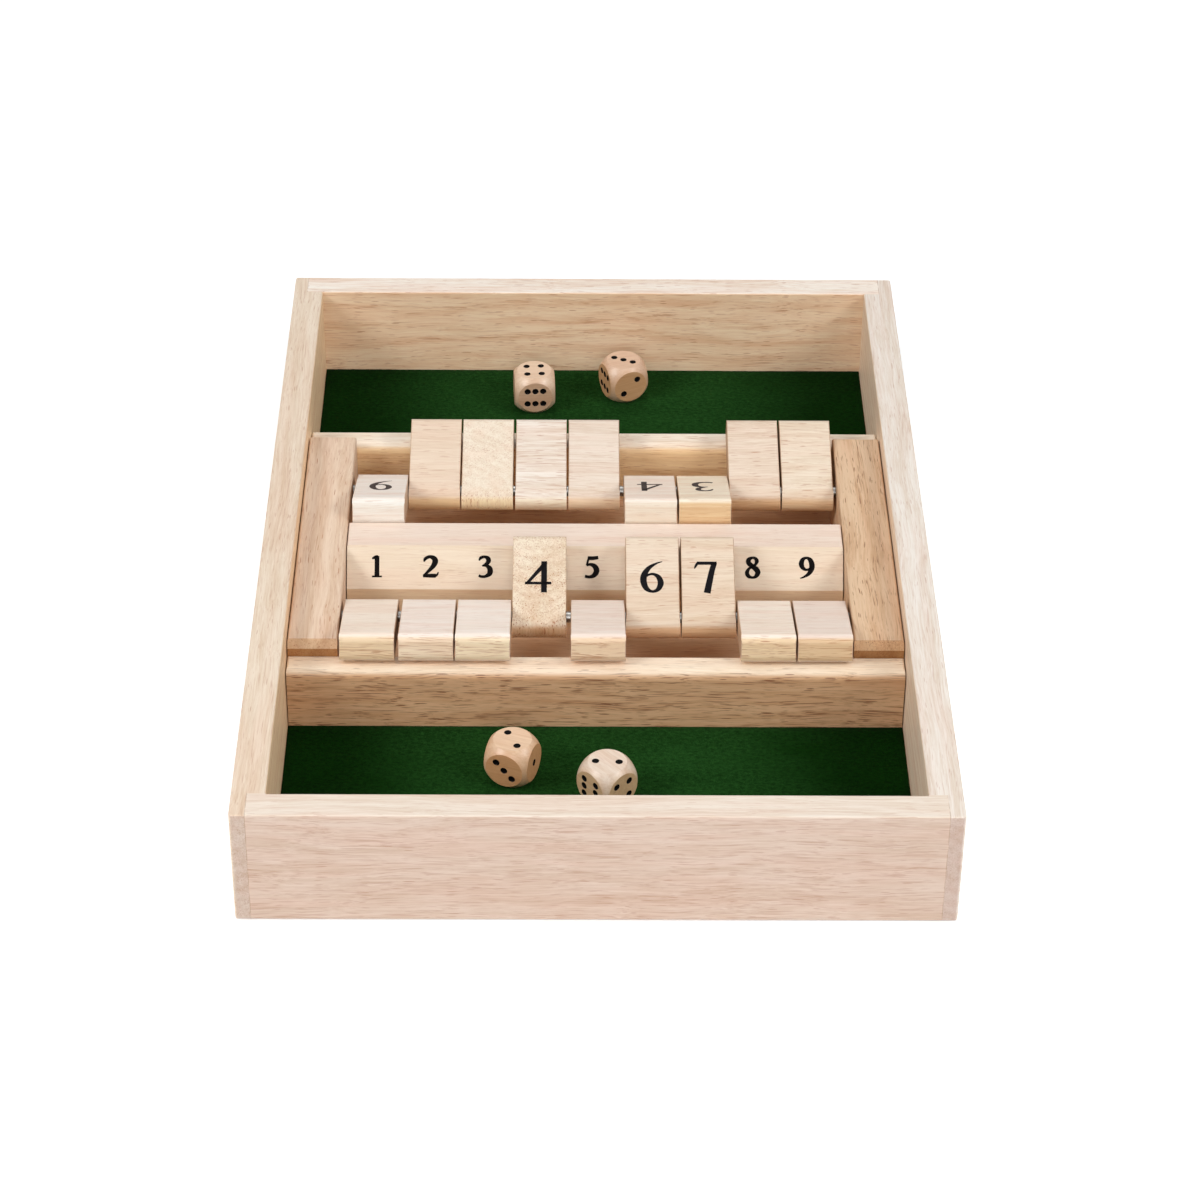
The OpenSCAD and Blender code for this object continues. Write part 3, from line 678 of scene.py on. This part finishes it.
def felt_sheet(node, name, material):
    """A laid sheet of felt in the solid's own space, with round edges and an uneven top."""
    low, high = (Vector(v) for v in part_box(node))
    size = high - low
    nx, ny = (max(2, round(s / (FELT_CELL * MM))) for s in size[:2])
    edge = FELT_EDGE * MM
    bm = bmesh.new()

    def spread(n, a, b):
        inner = [a + edge + (b - a - 2 * edge) * k / n for k in range(n + 1)]
        return [a] + inner + [b]

    xs, ys = spread(nx, low.x, high.x), spread(ny, low.y, high.y)
    top, bottom = {}, {}
    for i, x in enumerate(xs):
        for j, y in enumerate(ys):
            rim = i in (0, len(xs) - 1) or j in (0, len(ys) - 1)
            swell = FELT_SWELL * MM * (noise.noise(Vector((x, y, 0)) * SWELL_SCALE) - 1)
            top[i, j] = bm.verts.new((x, y, high.z + (-FELT_DROP * size.z if rim else swell)))
            bottom[i, j] = bm.verts.new((x, y, low.z))
    last_i, last_j = len(xs) - 1, len(ys) - 1
    for i in range(last_i):
        for j in range(last_j):
            bm.faces.new([top[c] for c in ((i, j), (i + 1, j), (i + 1, j + 1), (i, j + 1))])
            bm.faces.new([bottom[c] for c in ((i, j), (i, j + 1), (i + 1, j + 1), (i + 1, j))])
    loop = ([(i, 0) for i in range(last_i)] + [(last_i, j) for j in range(last_j)]
            + [(i, last_j) for i in range(last_i, 0, -1)] + [(0, j) for j in range(last_j, 0, -1)])
    for a, b in zip(loop, loop[1:] + loop[:1]):
        bm.faces.new((bottom[a], bottom[b], top[b], top[a]))
    for f in bm.faces:
        f.smooth = True
    piece = finish_piece(bm, name, material, "tray")
    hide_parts(node)


felt = felt_material()
felt_sheet("front_felt", "front_felt_sheet", felt)
felt_sheet("back_felt", "back_felt_sheet", felt)


# ---------------------------------------------------------------- floor, light and camera

NEAR, FAR = 0.5, 2.2                  # metres from the tray between which the floor's glow grows
NEAR_GLOW, FAR_GLOW = 0.35, 0.8
FLOOR_SIZE = 4.0
FLOOR_LOW = 0.0002                    # how far the floor lies under the tray, in metres


def floor():
    """A pale floor. It glows for the camera alone, so that it is white but lights nothing."""
    t = Tree("white_table")
    coords = t.add("ShaderNodeTexCoord")
    cloud = t.noise(coords.outputs["Object"], (3, 3, 3), 3)
    colour = t.mix(cloud, (0.90, 0.90, 0.90, 1), (0.93, 0.93, 0.93, 1))
    bsdf = t.add("ShaderNodeBsdfPrincipled", {"Base Color": colour, "Roughness": 0.85,
                                              "Specular IOR Level": 0.1})
    away = t.add("ShaderNodeVectorMath", {0: coords.outputs["Object"]},
                 operation="LENGTH").outputs["Value"]
    white = t.ramp(away, NEAR, FAR, NEAR_GLOW, FAR_GLOW)
    glow = t.add("ShaderNodeEmission", {
        "Color": (1, 1, 1, 1), "Strength": t.math("MULTIPLY", t.camera_sees(), white),
    })
    both = t.add("ShaderNodeAddShader", {0: bsdf.outputs[0], 1: glow.outputs[0]})
    t.tree.links.new(both.outputs[0], t.out.inputs["Surface"])
    bm = bmesh.new()
    bmesh.ops.create_grid(bm, x_segments=8, y_segments=8, size=FLOOR_SIZE)
    mesh = bpy.data.meshes.new("table_top")
    bm.to_mesh(mesh)
    bm.free()
    mesh.materials.append(t.material)
    table = bpy.data.objects.new("table_top", mesh)
    bpy.context.scene.collection.objects.link(table)
    table.location.z = -FLOOR_LOW


def softbox(name, at, aim, size, power):
    light = bpy.data.lights.new(name, "AREA")
    light.shape = "DISK"
    light.size = size
    light.energy = power
    lamp = bpy.data.objects.new(name, light)
    bpy.context.scene.collection.objects.link(lamp)
    lamp.location = at
    lamp.rotation_euler = (Vector(aim) - Vector(at)).to_track_quat("-Z", "Y").to_euler()


def sky(ambient):
    """Even light all round, seen as white by the camera."""
    world = bpy.data.worlds.new("studio")
    world.use_nodes = True
    tree = world.node_tree
    tree.nodes.clear()
    rays = tree.nodes.new("ShaderNodeLightPath")
    seen = rays.outputs["Is Camera Ray"]
    for kind in ("Is Glossy Ray", "Is Transmission Ray"):
        either = tree.nodes.new("ShaderNodeMath")
        either.operation = "MAXIMUM"
        tree.links.new(seen, either.inputs[0])
        tree.links.new(rays.outputs[kind], either.inputs[1])
        seen = either.outputs[0]
    lit, shown = (tree.nodes.new("ShaderNodeBackground") for _ in range(2))
    lit.inputs["Color"].default_value = (1, 1, 1, 1)
    lit.inputs["Strength"].default_value = ambient
    shown.inputs["Color"].default_value = (1, 1, 1, 1)
    shown.inputs["Strength"].default_value = 1.0
    choose = tree.nodes.new("ShaderNodeMixShader")
    tree.links.new(seen, choose.inputs[0])
    tree.links.new(lit.outputs[0], choose.inputs[1])
    tree.links.new(shown.outputs[0], choose.inputs[2])
    out = tree.nodes.new("ShaderNodeOutputWorld")
    tree.links.new(choose.outputs[0], out.inputs["Surface"])
    bpy.context.scene.world = world


def camera():
    """The photograph's camera, found from the tray's outline."""
    sensor, focal_px, photo_px = 36.0, 3461.5, 1200
    yaw, pitch, roll = 0.01198, 0.62961, 0.01052
    at = Vector((-10.4, -1036.36, 763.19)) * MM
    ahead = Vector((math.sin(yaw) * math.cos(pitch), math.cos(yaw) * math.cos(pitch),
                    -math.sin(pitch)))
    level = Vector((math.cos(yaw), -math.sin(yaw), 0))
    upright = level.cross(ahead)
    right = level * math.cos(roll) + upright * math.sin(roll)
    up = upright * math.cos(roll) - level * math.sin(roll)
    data = bpy.data.cameras.new("photo_camera")
    data.sensor_width = sensor
    data.lens = sensor * focal_px / photo_px
    data.clip_start, data.clip_end = 0.05, 50
    eye = bpy.data.objects.new("photo_camera", data)
    bpy.context.scene.collection.objects.link(eye)
    eye.matrix_world = Matrix.Translation(at) @ Matrix((right, up, -ahead)).transposed().to_4x4()
    bpy.context.scene.camera = eye


AMBIENT = 0.22
LAMPS = {                             # place, aim, width in metres and power in watts
    "left": ((-1.0, -0.5, 0.94), (0, 0, 0.02), 0.6, 9.2),
    "right": ((1.0, -0.5, 0.94), (0, 0, 0.02), 0.6, 8.2),
    "front": ((0.0, -1.35, 0.75), (0, 0, 0.02), 0.7, 5.2),
    "back": ((0.0, 0.55, 1.25), (0, 0.05, 0.02), 0.7, 3.3),
}
floor()
sky(AMBIENT)
for lamp, settings in LAMPS.items():
    softbox(lamp, *settings)
camera()
bpy.context.scene.view_settings.view_transform = "Standard"
